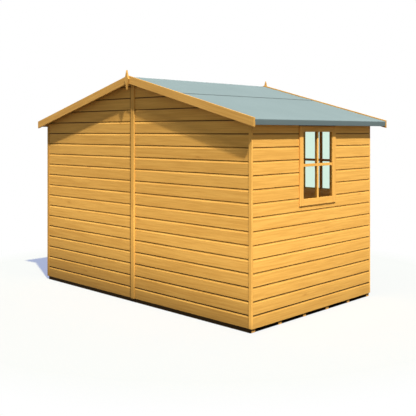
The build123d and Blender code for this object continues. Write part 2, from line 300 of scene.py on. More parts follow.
# Floor deck
# Boards of sawn softwood laid close together along the depth of the shed and nailed down to each bearer that
# they cross. They are the floor of the room, and the wall frames stand on them.
deck_low, deck_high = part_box("floor_deck")
deck_board = 0.1
deck_count = round((deck_high.x - deck_low.x) / deck_board)
deck_step = (deck_high.x - deck_low.x) / deck_count
deck = bmesh.new()
for number in range(deck_count):
    left = deck_low.x + number * deck_step
    add_timber(deck, (left, deck_low.y, deck_low.z), (left + deck_step, deck_high.y, deck_high.z), 1)
stand("deck_boards", deck, sawn_timber, "floor_timber", "floor_deck")

# Wall frames and roof timbers inside
# Sawn softwood studs, rails, purlins and the ridge beam, butted and nailed. They keep the shapes of their
# solids, with the grain along each length.
upright_grain = (0, math.radians(90), 0)
across_grain = (0, 0, 0)
along_grain = (0, 0, math.radians(90))
inside_colour = tint(214, 160, 86)
stud_finish = timber_finish("sawn_studs", inside_colour, **sawn, grain=upright_grain)
across_finish = timber_finish("sawn_gable_rails", inside_colour, **sawn, grain=across_grain)
along_finish = timber_finish("sawn_side_rails", inside_colour, **sawn, grain=along_grain)
for node in ("rear_studs", "left_studs", "right_studs", "front_studs"):
    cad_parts[node].data.materials[0] = stud_finish
for node in ("rear_rails", "front_rails", "door_ledges", "door_braces"):
    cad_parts[node].data.materials[0] = across_finish
for node in ("left_rails", "right_rails", "purlins", "ridge_beam"):
    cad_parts[node].data.materials[0] = along_finish

# Shiplap walls
# Planed softwood boards, nailed level to the frames from the foot up. Each has a lip at its foot that laps
# the board below, and a hollow scooped out of its face at the top, which catches the sun under a dark slot.
board_cover = 0.1134
board_thickness = 0.012
lip_thickness = 0.0075
lip_round = 0.0025
tongue = 0.010
inner_joint = 0.005
scoop_height = 0.015
scoop_depth = 0.0022
scoop_steps = 4
scoop_painted_shade = 0.8
lit_scoop_ramp = 3
slot_height = 0.0071
slot_depth = 0.0105
first_board_trim = 0.004
strip_shadow_offset = 0.019
roof_pitch = math.radians(15)
roof_fall = (math.tan(roof_pitch), 0, 1)
board_colour = tint(232, 174, 84)
board_face = {"streak": 0.9, "roughness": 0.62, "relief": 0.35}
wall_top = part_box("front_head_panel")[1].z
# Painted shade for the walls: how much darker they are made towards the foot, under the eave and away from
# the sun, and where the band of the eave's shadow begins.
gable_shade_gradient = {
    "stretch": (0.11, 0, 0),
    "sunward_slope": (0.054, 0, 0),
    "sunward_middle": 0.917,
    "foot_shade": 0.647,
    "foot_reach": 0.85,
    "eave_shade": 0.29,
    "eave_level": 0.76,
    "roof_fall": roof_fall,
    "shadow_band_level": wall_top - 0.31,
}
side_shade_gradient = {
    "stretch": (0, -0.139, 0),
    "sunward_slope": (0, -0.041, 0),
    "sunward_middle": 0.932,
    "foot_shade": 0.36,
    "foot_reach": 0.7,
    "eave_shade": 0.08,
    "eave_level": 0.71,
    "roof_fall": roof_fall,
    "shadow_band_level": wall_top - 0.19,
}
# The place of the joint strip's painted shadow line, just left of the strip.
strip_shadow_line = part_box("rear_centre_strip")[0].x - strip_shadow_offset
gable_finish = timber_finish(
    "gable_shiplap", board_colour, **board_face, shade_gradient=gable_shade_gradient, strip_shadow=strip_shadow_line
)
side_finish = timber_finish("side_shiplap", board_colour, **board_face, shade_gradient=side_shade_gradient)


def shiplap_section():
    """The board's section as depth behind its face and height above its foot."""
    flat = lip_round / 2
    bulge = lip_round * 0.3
    scoop_top = board_cover - slot_height
    joint_top = board_cover + tongue - inner_joint
    section = [(lip_thickness, 0.0), (lip_round, 0.0), (bulge, bulge), (0.0, lip_round)]
    section += [(0.0, lip_round + flat), (0.0, scoop_top - scoop_height - flat)]
    for step in range(scoop_steps + 1):
        share = step / scoop_steps
        section.append((scoop_depth * (1 - (1 - share) ** 2), scoop_top - scoop_height * (1 - share)))
    section += [(slot_depth, scoop_top), (slot_depth, joint_top), (board_thickness, joint_top)]
    section += [(board_thickness, tongue), (lip_thickness, tongue)]
    return section


def draw_out(bm, face, run):
    """Draws a face out into a solid."""
    made = bmesh.ops.extrude_face_region(bm, geom=[face])
    drawn = [part for part in made["geom"] if isinstance(part, bmesh.types.BMVert)]
    bmesh.ops.translate(bm, vec=run, verts=drawn)


def trim_board(board, point, outward):
    """Saws a board off at a plane and closes the cut."""
    geometry = board.verts[:] + board.edges[:] + board.faces[:]
    cut = bmesh.ops.bisect_plane(board, geom=geometry, plane_co=point, plane_no=outward, clear_outer=True)
    edges = [part for part in cut["geom_cut"] if isinstance(part, bmesh.types.BMEdge)]
    if edges:
        bmesh.ops.holes_fill(board, edges=edges, sides=0)


def add_shiplap(whole, along, start, end, face, inward, foot, cuts):
    """Adds one course of board between two places along a wall, cut to the planes that end it."""
    board = bmesh.new()
    across = 1 - along
    corners = []
    for depth, rise in shiplap_section():
        place = Vector((0, 0, foot + rise))
        place[along] = start
        place[across] = face + inward * depth
        corners.append(board.verts.new(place))
    run = Vector((0, 0, 0))
    run[along] = end - start
    draw_out(board, board.faces.new(corners), run)
    for point, outward in cuts:
        trim_board(board, point, outward)
    # Painted shade in the groove: the back of the slot is made dark, and the hollow darker towards its top.
    # The lower hollow, which the sun lights, is marked to be spared from the wall's painted shade.
    grime = board.verts.layers.float.new("grime")
    washed = board.verts.layers.float.new("washed")
    for vert in board.verts:
        depth = (vert.co[across] - face) * inward
        share = 1 + (vert.co.z - foot - board_cover + slot_height) / scoop_height
        in_slot = abs(depth - slot_depth) < arris / 2
        in_scoop = depth < scoop_depth + arris and 0 < share < 1 + arris
        vert[grime] = scoop_painted_shade * share * share if in_scoop else float(in_slot)
        vert[washed] = min(1.0, share * lit_scoop_ramp) if in_scoop else 0.0
    if board.faces:
        set_grain(board, along)
        join(whole, board)
    else:
        board.free()


def course_foot(course):
    """The level at which a course of boards starts."""
    return wall_foot - first_board_trim + course * board_cover


def clad(name, node, along, inward, slopes, opening=None):
    """Boards a wall or a door from its foot up, round a window's opening if it has one."""
    low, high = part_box(node)
    across = 1 - along
    face = low[across] if inward > 0 else high[across]
    up = Vector((0, 0, 1))
    cuts = [(Vector(point), Vector(outward)) for point, outward in slopes]
    cuts += [(high, up), (low, -up)]
    whole = bmesh.new()
    course = 0
    while course_foot(course) < high.z:
        foot = course_foot(course)
        head = foot + board_cover
        runs = [(low[along], high[along], cuts)]
        if opening and foot < opening[1].z and head + tongue > opening[0].z:
            runs = [(low[along], opening[0][along], cuts), (opening[1][along], high[along], cuts)]
            if foot < opening[0].z:
                runs.append((opening[0][along], opening[1][along], cuts + [(opening[0], up)]))
            if head + tongue > opening[1].z:
                runs.append((opening[0][along], opening[1][along], cuts + [(opening[1], -up)]))
        for start, end, run_cuts in runs:
            add_shiplap(whole, along, start, end, face, inward, foot, run_cuts)
        course += 1
    stand(name, whole, gable_finish if along == 0 else side_finish, "cladding", node)


def window_opening(node):
    """The hole in the boards behind a window frame: the frame's box drawn in by what it covers."""
    low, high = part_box(node)
    cover_side = 0.048
    cover_foot = 0.046
    inset = Vector((cover_side, cover_side, 0))
    return low + inset + Vector((0, 0, cover_foot)), high - inset - Vector((0, 0, cover_side))


wall_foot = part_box("rear_left_panel")[0].z
left_up = (-math.sin(roof_pitch), 0, math.cos(roof_pitch))
right_up = (math.sin(roof_pitch), 0, math.cos(roof_pitch))
for side, slope_up in (("left", left_up), ("right", right_up)):
    mirror = -1 if side == "left" else 1
    for gable, inward in (("rear", 1), ("front", -1)):
        node = f"{gable}_{side}_panel"
        low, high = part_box(node)
        inner = high.x if side == "left" else low.x
        opening = window_opening(f"front_{side}_window_frame") if gable == "front" else None
        clad(f"{gable}_{side}_shiplap", node, 0, inward, [((inner, 0, high.z), slope_up)], opening)
    node = f"{side}_wall_panel"
    low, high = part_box(node)
    inner = high.x if side == "left" else low.x
    opening = window_opening(f"{side}_window_frame")
    clad(f"{side}_wall_shiplap", node, 1, -mirror, [((inner, 0, high.z), slope_up)], opening)
ridge_point = (0, 0, wall_top)
ridge_cuts = [(ridge_point, left_up), (ridge_point, right_up)]
clad("front_head_shiplap", "front_head_panel", 0, -1, ridge_cuts)

# Doors
# Two leaves boarded in the same planed shiplap as the walls, at the same levels, so that the lines run on
# across them. The boards are nailed to ledges and braces behind.
for side in ("left", "right"):
    clad(f"{side}_door_shiplap", f"{side}_door", 0, -1, [])

# Wall nails
# Round galvanised wire nails, one through each board into every stud behind it, driven flush in the lower
# half of the board.
nail_radius = 0.0024
nail_rise = 0.030
nail_clear = 0.030
head_sides = 10
head_taper = 0.6
steel_roughness = 0.35
spangle_part = 0.3
metal_shine = 0.5
steel_finish, shade = new_finish("galvanised_nails")
place = shade.node("ShaderNodeTexCoord", {}, {}, "Object")
spangle = shade.node("ShaderNodeTexNoise", {}, {"Vector": place, "Scale": 400.0, "Detail": 2.0})
zinc = spangle.blend(tint(96, 88, 76), tint(138, 130, 116))
bump = shade.node("ShaderNodeBump", {}, {"Strength": 0.2, "Distance": 0.0003, "Height": spangle})
close_finish(shade, zinc, spangle * spangle_part + steel_roughness, bump, metal_shine)


def add_head(whole, point, outward, radius, height):
    """Adds the head of a nail or a screw, a flat dome that faces outwards."""
    head = bmesh.new()
    top = radius * head_taper
    bmesh.ops.create_cone(
        head, cap_ends=True, segments=head_sides, radius1=radius, radius2=top, depth=height
    )
    turn = Vector(outward).to_track_quat("Z", "Y").to_matrix().to_4x4()
    bmesh.ops.transform(head, matrix=Matrix.Translation(point) @ turn, verts=head.verts)
    join(whole, head)


def nail_wall(whole, along, face, outward, columns, frames):
    """Nails every course of a wall at the studs, but not under the window frames or above the roof's line."""
    across = 1 - along
    course = 0
    while course_foot(course) < wall_top:
        level = course_foot(course) + nail_rise
        for column in columns:
            point = Vector((0, 0, level))
            point[along] = column
            point[across] = face
            facing = Vector((0, 0, 0))
            facing[across] = outward
            covered = level > wall_top - abs(point.x) * math.tan(roof_pitch) - nail_clear
            for node in frames:
                low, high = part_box(node)
                beside = low[along] < column < high[along]
                covered = covered or (beside and low.z - nail_clear < level < high.z + nail_clear)
            if not covered:
                add_head(whole, point, facing, nail_radius, nail_radius / 3)
        course += 1


wall_low, wall_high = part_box("rear_left_panel")[0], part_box("front_right_panel")[1]
nails = bmesh.new()
rear_columns = (-1.445, -0.982, -0.502, -0.042, 0.042, 0.502, 0.982, 1.445)
front_columns = (-1.445, -1.164, -0.612, 0.612, 1.164, 1.445)
side_columns = (-0.8855, -0.3145, 0.2215, 0.7805)
front_frames = ("front_left_window_frame", "front_right_window_frame")
nail_wall(nails, 0, wall_low.y, -1, rear_columns, ())
nail_wall(nails, 0, wall_high.y, 1, front_columns, front_frames)
for side, outward in (("left", -1), ("right", 1)):
    wall_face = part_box(f"{side}_wall_panel")[(outward + 1) // 2].x
    nail_wall(nails, 1, wall_face, outward, side_columns, (f"{side}_window_frame",))
stand("wall_nails", nails, steel_finish, "ironwork")

# Door hinges
# Tee hinges pressed from steel strip and painted black: a long strap that tapers along the leaf, a plate on
# the post, and a rolled knuckle with its pin between them. Round-headed screws fix them.
hinge_thickness = 0.003
strap_reach = 0.300
strap_width = 0.032
strap_tip = 0.018
strap_screws = (0.16, 0.42, 0.68, 0.94)
plate_width = 0.030
plate_height = 0.110
plate_screws = (-0.36, 0.0, 0.36)
plate_screw_line = 0.62
knuckle_radius = 0.0055
knuckle_sides = 20
barrel_height = 0.0195
barrel_step = 0.0202
screw_radius = 0.0042
paint_roughness = 0.3
worn_part = 0.25
iron_finish, shade = new_finish("black_iron")
place = shade.node("ShaderNodeTexCoord", {}, {}, "Object")
orange_peel = shade.node("ShaderNodeTexNoise", {}, {"Vector": place, "Scale": 350.0, "Detail": 2.0})
worn = shade.node("ShaderNodeTexNoise", {}, {"Vector": place, "Scale": 25.0, "Detail": 4.0})
paint = worn.blend(tint(26, 26, 27), tint(46, 45, 44))
bump = shade.node("ShaderNodeBump", {}, {"Strength": 0.2, "Distance": 0.0005, "Height": orange_peel})
close_finish(shade, paint, worn * worn_part + paint_roughness, bump, metal_shine)


def flat_edges(bm, axis, reach):
    """The edges that run less than a reach along one axis."""
    return [edge for edge in bm.edges if abs(edge.verts[0].co[axis] - edge.verts[1].co[axis]) < reach]


def cut_plate(outline, rear, thickness, rounding):
    """A flat plate from its outline in X and Z, as thick along Y, with softened rims."""
    plate = bmesh.new()
    face = plate.faces.new([plate.verts.new((x, rear, z)) for x, z in outline])
    draw_out(plate, face, (0, thickness, 0))
    bmesh.ops.recalc_face_normals(plate, faces=plate.faces[:])
    soften(plate, flat_edges(plate, 1, thickness / 2), rounding)
    return plate


def add_screw(whole, x, y, z):
    """Adds a round-headed screw that faces the front."""
    add_head(whole, Vector((x, y, z)), (0, 1, 0), screw_radius, screw_radius / 2)


hinge_low, hinge_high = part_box("door_hinges")
hinge_middle = (hinge_low.z + hinge_high.z) / 2
hinge_levels = (hinge_low.z + plate_height / 2, hinge_middle, hinge_high.z - plate_height / 2)
hinge_top = hinge_low.y + hinge_thickness
hinges = bmesh.new()
for mirror in (-1, 1):
    pin = mirror * (hinge_high.x - plate_width)
    for level in hinge_levels:
        strap_end = pin - mirror * strap_reach
        strap_point = strap_end - mirror * strap_tip / 4
        strap = [
            (pin, level - strap_width / 2),
            (pin, level + strap_width / 2),
            (strap_end, level + strap_tip / 2),
            (strap_point, level + strap_tip / 4),
            (strap_point, level - strap_tip / 4),
            (strap_end, level - strap_tip / 2),
        ]
        plate_end = pin + mirror * plate_width
        plate = [(pin, level - plate_height / 2), (pin, level + plate_height / 2)]
        plate += [(plate_end, level + plate_height / 2), (plate_end, level - plate_height / 2)]
        for outline in (strap, plate):
            join(hinges, cut_plate(outline, hinge_low.y, hinge_thickness, hinge_thickness / 4))
        for number in (-1, 0, 1):
            barrel = bmesh.new()
            bmesh.ops.create_cone(
                barrel, cap_ends=True, segments=knuckle_sides, radius1=knuckle_radius, radius2=knuckle_radius,
                depth=barrel_height,
            )
            soften(barrel, flat_edges(barrel, 2, barrel_height / 2), knuckle_radius / 6)
            middle = (pin, hinge_low.y + knuckle_radius, level + number * barrel_step)
            bmesh.ops.translate(barrel, vec=middle, verts=barrel.verts)
            join(hinges, barrel)
        for share in strap_screws:
            add_screw(hinges, pin - mirror * strap_reach * share, hinge_top, level)
        for share in plate_screws:
            x = pin + mirror * plate_width * plate_screw_line
            add_screw(hinges, x, hinge_top, level + share * plate_height)
stand("tee_hinges", hinges, iron_finish, "ironwork", "door_hinges")

# Turn buttons
# Two planed softwood blocks with rounded ends that hold the doors shut. Each turns across the joint of the
# leaves on one round-headed screw.
button_length = 0.096
button_radius = 0.015
button_rounding = 0.002
button_steps = 10
planed = {"streak": 0.9, "roughness": 0.6, "relief": 0.35}
button_finish = timber_finish("planed_buttons", tint(234, 175, 85), **planed)
button_low, button_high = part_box("door_buttons")
buttons = bmesh.new()
pivots = bmesh.new()
for level in (button_low.z + button_radius, button_high.z - button_radius):
    outline = []
    for mirror in (1, -1):
        for step in range(button_steps + 1):
            turn = math.radians(180 * step / button_steps - 90)
            x = button_length / 2 - button_radius + button_radius * math.cos(turn)
            outline.append((mirror * x, level + mirror * button_radius * math.sin(turn)))
    block = cut_plate(outline, button_low.y, button_high.y - button_low.y, button_rounding)
    set_grain(block, 0)
    join(buttons, block)
    add_screw(pivots, 0, button_high.y, level)
stand("turn_buttons", buttons, button_finish, "trim_timber", "door_buttons")
stand("button_screws", pivots, steel_finish, "ironwork")

# Corner strips
# Planed softwood strips nailed up the corners, which the boards of the gables end against. Their heads are
# cut to the slope of the roof.
strip_width = 0.033
strip_thickness = 0.017
strip_shade_gradient = {
    "stretch": (0.4, 0, 0),
    "sunward_slope": (0.122, 0, 0),
    "sunward_middle": 0.771,
    "foot_shade": 0.55,
    "foot_reach": 0.2,
    "eave_shade": 0.25,
    "eave_level": 2.4,
    "roof_fall": roof_fall,
    "shadow_band_level": wall_top,
}
# Painted shade: the corner strips are made darker towards the foot and away from the sun, as the walls are.
planed_timber = timber_finish("planed_timber", board_colour, **planed, shade_gradient=strip_shade_gradient)
strips = bmesh.new()
strip_low, strip_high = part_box("corner_strips")
for rear in (strip_low.y, strip_high.y - strip_thickness):
    for left, slope_up in ((strip_low.x, left_up), (strip_high.x - strip_width, right_up)):
        strip = bmesh.new()
        far_corner = (left + strip_width, rear + strip_thickness, strip_high.z)
        add_timber(strip, (left, rear, strip_low.z), far_corner, 2)
        inner = left + strip_width if left < 0 else left
        trim_board(strip, Vector((inner, 0, strip_high.z)), Vector(slope_up))
        join(strips, strip)
stand("corner_cover_strips", strips, planed_timber, "trim_timber", "corner_strips")

# Joint strip
# A wider planed strip nailed up the middle of the rear gable, over the joint of its two panels. One arris is
# rounded, and the head is cut to both slopes.
joint_rounding = 0.007
joint_turns = (0, 22.5, 45, 67.5, 90)
# Painted shade: the joint strip is made darker towards the foot, under the eave and away from the sun, as the
# rear wall is.
joint_timber = timber_finish("joint_strip_painted_shade", board_colour, **planed, shade_gradient=gable_shade_gradient)
joint_low, joint_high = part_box("rear_centre_strip")
joint = bmesh.new()
outline = [(joint_low.x, joint_high.y), (joint_low.x, joint_low.y + arris)]
outline.append((joint_low.x + arris, joint_low.y))
for turn in joint_turns:
    x = joint_high.x - joint_rounding * (1 - math.sin(math.radians(turn)))
    outline.append((x, joint_low.y + joint_rounding * (1 - math.cos(math.radians(turn)))))
outline.append((joint_high.x, joint_high.y))
foot_face = joint.faces.new([joint.verts.new((x, y, joint_low.z)) for x, y in outline])
draw_out(joint, foot_face, (0, 0, joint_high.z - joint_low.z))
set_grain(joint, 2)
for slope_up in (left_up, right_up):
    trim_board(joint, Vector((0, 0, joint_high.z)), Vector(slope_up))
stand("joint_cover_strip", joint, joint_timber, "trim_timber", "rear_centre_strip")

# Windows
# A planed softwood frame planted on the boards, its jambs running past the rails, with painted shade along
# the top of its head. A clear sheet with a faint green tint lies behind it, between two crosses of slim bars.
side_jamb = 0.054
front_jamb = 0.062
sight_head = 0.064
sight_foot = 0.060
bar_width = 0.024
bar_setback = 0.006
glass_thickness = 0.003
inner_bar = 0.018
shaded_head_height = 0.014
shaded_head_setback = 0.003
head_painted_shade = 2.0
# Painted shade: the inner bars behind the sheet are a darker copy of the frame's wood, for the shade they
# stand in.
inner_bar_shade = timber_finish("inner_bars_painted_shade", tint(165, 106, 36), **planed)
sash_timber = timber_finish("planed_sashes", tint(223, 166, 81), **planed)
glass_finish, shade = new_finish("window_sheet")
clear = shade.node("ShaderNodeBsdfTransparent", {}, {"Color": (0.905, 0.967, 0.930, 1)})
polish = shade.node("ShaderNodeBsdfGlossy", {}, {"Color": (1, 1, 1, 1), "Roughness": 0.02})
glance = shade.node("ShaderNodeFresnel", {}, {"IOR": 1.05})
surface = shade.node("ShaderNodeMixShader", {}, {0: glance, 1: clear, 2: polish})
shade.node("ShaderNodeOutputMaterial", {}, {"Surface": surface})
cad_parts["window_glass"].data.materials[0] = glass_finish


def add_window(node, along, outward, jamb):
    """Builds one window's frame and bars in place of its solid."""
    low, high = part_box(node)
    across = 1 - along
    window = bmesh.new()
    inner = bmesh.new()
    shaded_head = bmesh.new()

    def member(whole, start, end, foot, head, back, front, grain):
        near = Vector((0, 0, foot))
        far = Vector((0, 0, head))
        near[along], far[along] = start, end
        near[across], far[across] = min(back, front), max(back, front)
        add_timber(whole, near, far, grain)

    back, front = (low[across], high[across]) if outward > 0 else (high[across], low[across])
    left, right = low[along], high[along]
    sight_left, sight_right = left + jamb, right - jamb
    sight_low, sight_high = low.z + sight_foot, high.z - sight_head
    shaded_head_foot = high.z - shaded_head_height
    member(window, left, sight_left, low.z, shaded_head_foot, back, front, 2)
    member(window, sight_right, right, low.z, shaded_head_foot, back, front, 2)
    member(window, sight_left, sight_right, low.z, sight_low, back, front, along)
    member(window, sight_left, sight_right, sight_high, shaded_head_foot, back, front, along)
    middle = (sight_left + sight_right) / 2
    level = (sight_low + sight_high) / 2
    bar_front = front - outward * bar_setback
    behind_glass = back - outward * glass_thickness
    bar_left, bar_right = middle - bar_width / 2, middle + bar_width / 2
    bar_low, bar_high = level - bar_width / 2, level + bar_width / 2
    inner_back = behind_glass - outward * inner_bar
    for whole, near, far in ((window, back, bar_front), (inner, inner_back, behind_glass)):
        member(whole, bar_left, bar_right, sight_low, sight_high, near, far, 2)
        member(whole, sight_left, bar_left, bar_low, bar_high, near, far, along)
        member(whole, bar_right, sight_right, bar_low, bar_high, near, far, along)
    # Painted shade: a band along the top of the head rail is made dark, for the shade under the eave.
    member(shaded_head, left, right, shaded_head_foot, high.z, back, front - outward * shaded_head_setback, along)
    grime = shaded_head.verts.layers.float.new("grime")
    for vert in shaded_head.verts:
        vert[grime] = head_painted_shade
    join(window, shaded_head)
    name = node.replace("_frame", "")
    stand(name, window, sash_timber, "trim_timber", node)
    stand(f"{name}_inner_bars", inner, inner_bar_shade, "trim_timber")


add_window("left_window_frame", 1, -1, side_jamb)
add_window("right_window_frame", 1, 1, side_jamb)
add_window("front_left_window_frame", 0, 1, front_jamb)
add_window("front_right_window_frame", 0, 1, front_jamb)

# Roof boards and battens
# Softwood boards laid along the ridge, with battens nailed under their ends at the eaves and the verges. The
# eaves are cut square to the slope.
roof_board = 0.12
roof_board_thickness = 0.012
batten_width = 0.044
batten_depth = 0.030
felt_thickness = 0.002
barge_upstand = 0.011
pitch_rise = math.sin(roof_pitch)
pitch_run = math.cos(roof_pitch)
pitch_fall = math.tan(roof_pitch)
eave_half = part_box("right_bargeboards")[1].x
eave_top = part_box("right_bargeboards")[1].z - barge_upstand - eave_half * pitch_fall


def on_slope(mirror):
    """Places what is drawn with x up the slope from the eave, and z above the felt, on one slope."""
    return Matrix((
        (-mirror * pitch_run, 0, mirror * pitch_rise, mirror * eave_half),
        (0, 1, 0, 0),
        (pitch_rise, 0, pitch_run, eave_top),
        (0, 0, 0, 1),
    ))


def to_ridge(depth):
    """The way up the slope from the eave to the middle of the roof, at a depth below the felt's face."""
    return (eave_half - depth * pitch_rise) / pitch_run


boards_depth = felt_thickness + roof_board_thickness
battens_depth = boards_depth + batten_depth
eaves = bmesh.new()
for side, mirror in (("left", -1), ("right", 1)):
    placing = on_slope(mirror)
    low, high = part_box(f"{side}_roof_boards")
    reach = to_ridge(boards_depth) - felt_thickness
    count = round(reach / roof_board)
    boards = bmesh.new()
    for number in range(count):
        near = (felt_thickness + reach * number / count, low.y, -boards_depth)
        far = (felt_thickness + reach * (number + 1) / count, high.y, -felt_thickness)
        add_timber(boards, near, far, 1, placing)
    stand(f"{side}_roof_boarding", boards, sawn_timber, "roof_boards", f"{side}_roof_boards")

    battens = bmesh.new()
    for rear in (low.y, high.y - batten_width):
        near = (felt_thickness + batten_width, rear, -battens_depth)
        far = (to_ridge(battens_depth), rear + batten_width, -boards_depth)
        add_timber(battens, near, far, 0, placing)
    stand(f"{side}_verge_timbers", battens, sawn_timber, "frame_timber", f"{side}_verge_battens")
    near = (felt_thickness, low.y, -battens_depth)
    add_timber(eaves, near, (felt_thickness + batten_width, high.y, -boards_depth), 1, placing)
stand("eave_timbers", eaves, sawn_timber, "frame_timber", "eave_battens")

# Roofing felt
# Bitumen felt with a face of pale grey-green mineral. A sheet on each slope is folded down over the eave and
# nailed, and a ridge sheet laps over both. The cut edges are black, and a painted shadow lies along the lap.
fold_drop = 0.048
fold_round = 0.005
fold_spring = 0.005
fold_turns = (0, 22.5, 45, 67.5, 90)
felt_rows = 48
wave_height = 0.0006
wave_count = 5
wave_sink = 0.6
cut_edge = 0.003
lap_shadow_fade = 0.02
grit_part = 0.8
cloud_part = 0.5
felt_roughness = 0.9
sharp_angle = 40
slope_shares = (1, 0.85, 0.7, 0.55, 0.4, 0.25, 0.12, 0.04)
fold_shares = ((0.4, 0), (0.7, 0), (0.95, 0), (1, 1))
ridge_shares = (0.7, 0.5, 0.3, 0.12, 0.025, 0)
lap_step = 0.012
lap_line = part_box("ridge_felt")[1].x
lap_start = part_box("right_felt")[0].x
felt_finish, shade = new_finish("mineral_felt")
place = shade.node("ShaderNodeTexCoord", {}, {}, "Object")
edge = shade.node("ShaderNodeAttribute", {"attribute_name": "edge"}, {}, "Fac")
grit = shade.node("ShaderNodeTexNoise", {}, {"Vector": place, "Scale": 700.0, "Detail": 2.0})
cloud = shade.node("ShaderNodeTexNoise", {}, {"Vector": place, "Scale": 2.2, "Detail": 3.0})
depth = (grit - 0.5) * grit_part + (cloud - 0.5) * cloud_part + 0.5
mineral_stops = [(0.1, tint(93, 107, 108)), (0.9, tint(107, 121, 122))]
mineral = shade.node("ShaderNodeValToRGB", {"stops": mineral_stops}, {"Fac": depth})
bump = shade.node("ShaderNodeBump", {}, {"Strength": 0.35, "Distance": 0.001, "Height": grit})
close_finish(shade, edge.blend(mineral, tint(58, 64, 61)), felt_roughness, bump)


def lay_felt(name, node, outline, placing):
    """Rolls out a sheet along the roof: an outline across the slope, a little uneven, with black cut edges
    and painted shadow.
    """
    low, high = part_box(node)
    sheet = bmesh.new()
    edge_layer = sheet.verts.layers.float.new("edge")
    across = [sheet.verts.new((x, low.y, z)) for x, z, dark in outline]
    for vert, (x, z, dark) in zip(across, outline):
        vert[edge_layer] = dark
    for first, second in zip(across, across[1:]):
        sheet.edges.new((first, second))
    step = (high.y - low.y) / felt_rows
    bmesh.ops.spin(
        sheet, geom=sheet.verts[:] + sheet.edges[:], cent=(0, 0, 0), axis=(0, 0, 1), dvec=(0, step, 0),
        angle=0, steps=felt_rows, use_merge=False,
    )
    bmesh.ops.recalc_face_normals(sheet, faces=sheet.faces[:])
    sheet.normal_update()
    if sum(face.normal.z for face in sheet.faces) < 0:
        bmesh.ops.reverse_faces(sheet, faces=sheet.faces[:])
    sheet.normal_update()
    ups = [(vert, vert.normal.copy()) for vert in sheet.verts]
    for vert, up in ups:
        lift = noise.noise(vert.co * wave_count + Vector((0, 0, len(name))))
        vert.co += up * wave_height * (lift - wave_sink)
    bmesh.ops.solidify(sheet, geom=sheet.faces[:], thickness=felt_thickness)
    bmesh.ops.transform(sheet, matrix=placing, verts=sheet.verts)
    for face in sheet.faces:
        face.smooth = True
    piece = stand(name, sheet, felt_finish, "roofing_felt", node)
    piece.data.set_sharp_from_angle(angle=math.radians(sharp_angle))


lap_reach = (eave_half - lap_start) / pitch_run
slope_outline = [(lap_reach * share, 0, 0) for share in slope_shares]
for angle in fold_turns:
    turn = math.radians(angle)
    slope_outline.append((fold_round * (1 - math.sin(turn)), fold_round * (math.cos(turn) - 1), 0))
for share, dark in fold_shares:
    slope_outline.append((-fold_spring * share, -fold_drop * share, dark))
lay_felt("right_felt_sheet", "right_felt", slope_outline, on_slope(1))
lay_felt("left_felt_sheet", "left_felt", slope_outline, on_slope(-1))
lap_rise = felt_thickness / pitch_run
# Painted shadow: the ridge sheet's top face is black along its lapped edge and fades out within 20 mm, for
# the shadow at the lap. The cut edge itself is black bitumen.
lap_outline = [(lap_line, lap_rise, 1), (lap_line - cut_edge, lap_rise, 1)]
lap_outline += [(lap_line - lap_shadow_fade, lap_rise, 0), (lap_start, lap_rise, 0), (lap_start - lap_step, 0, 0)]
lap_outline += [(lap_line * share, 0, 0) for share in ridge_shares]
ridge_outline = [(x, eave_top + (eave_half - x) * pitch_fall + rise, dark) for x, rise, dark in lap_outline]
ridge_outline += [(-x, z, dark) for x, z, dark in reversed(ridge_outline[:-1])]
lay_felt("ridge_felt_sheet", "ridge_felt", ridge_outline, Matrix.Identity(4))

# Bargeboards
# Planed boards nailed to the roof's ends along both slopes, cut plumb at the eaves and mitred at the ridge.
# They are stained darker than the walls, and their top faces are painted darker still, as shade.
barge_thickness = 0.018
barge_height = 0.075
barge_top_painted_shade = 0.76
barge_timber = timber_finish("stained_barges", tint(190, 143, 72), **planed)
for side, mirror in (("left", -1), ("right", 1)):
    low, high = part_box(f"{side}_bargeboards")
    lean = Matrix.Identity(4)
    lean[2][0] = -mirror * pitch_fall
    barges = bmesh.new()
    for rear in (low.y, high.y - barge_thickness):
        near = (low.x, rear, high.z - barge_height)
        far = (high.x, rear + barge_thickness, high.z)
        add_timber(barges, near, far, 0, lean)
    # Painted shade: the top faces of the bargeboards are made darker, to hold down the sun on them.
    shaded_top = barges.verts.layers.float.new("grime")
    for vert in barges.verts:
        level = vert.co.z + abs(vert.co.x) * pitch_fall
        vert[shaded_top] = barge_top_painted_shade if level > high.z - arris / 2 else 0.0
    stand(f"{side}_barges", barges, barge_timber, "trim_timber", f"{side}_bargeboards")

# Finials
# Flat four-pointed boards with hollowed sides, sawn out of the same stained softwood and nailed over the
# mitres of the bargeboards.
finial_thickness = 0.018
finial_rounding = 0.0008
finial_sag = 0.09
finial_steps = 8
finial_low, finial_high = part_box("finials")
rising = [step / finial_steps for step in range(finial_steps + 1)]
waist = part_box("right_bargeboards")[1].z - barge_height / 2
finials = bmesh.new()
for rear in (finial_low.y, finial_high.y - finial_thickness):
    outline = []
    for tip, shares in ((finial_low.z, rising), (finial_high.z, rising[-2::-1])):
        for share in shares:
            sag = finial_high.x * finial_sag * 4 * share * (1 - share)
            outline.append((finial_high.x * share - sag, tip + (waist - tip) * share))
    outline += [(-x, z) for x, z in outline[-2:0:-1]]
    board = cut_plate(outline, rear, finial_thickness, finial_rounding)
    set_grain(board, 2)
    join(finials, board)
stand("ridge_finials", finials, barge_timber, "trim_timber", "finials")

# Ground and sky
# A pale studio floor that fades into a white sky further out, with painted shade under the shed that reaches
# a little past it as a painted contact shadow. Light that bounces off them is dimmer than what the camera
# sees.
ground_size = 120.0
gap_softness = 0.008
painted_shadow_spread = 0.015
pool_radius = 2.8
pool_fade = 0.5


def seen_share(shade):
    """1 for what is seen straight, in gloss or through glass, and 0 for light that bounces."""
    straight = shade.node("ShaderNodeLightPath", {}, {}, "Is Camera Ray")
    return (straight + straight.other("Is Glossy Ray") + straight.other("Is Transmission Ray")).limited()


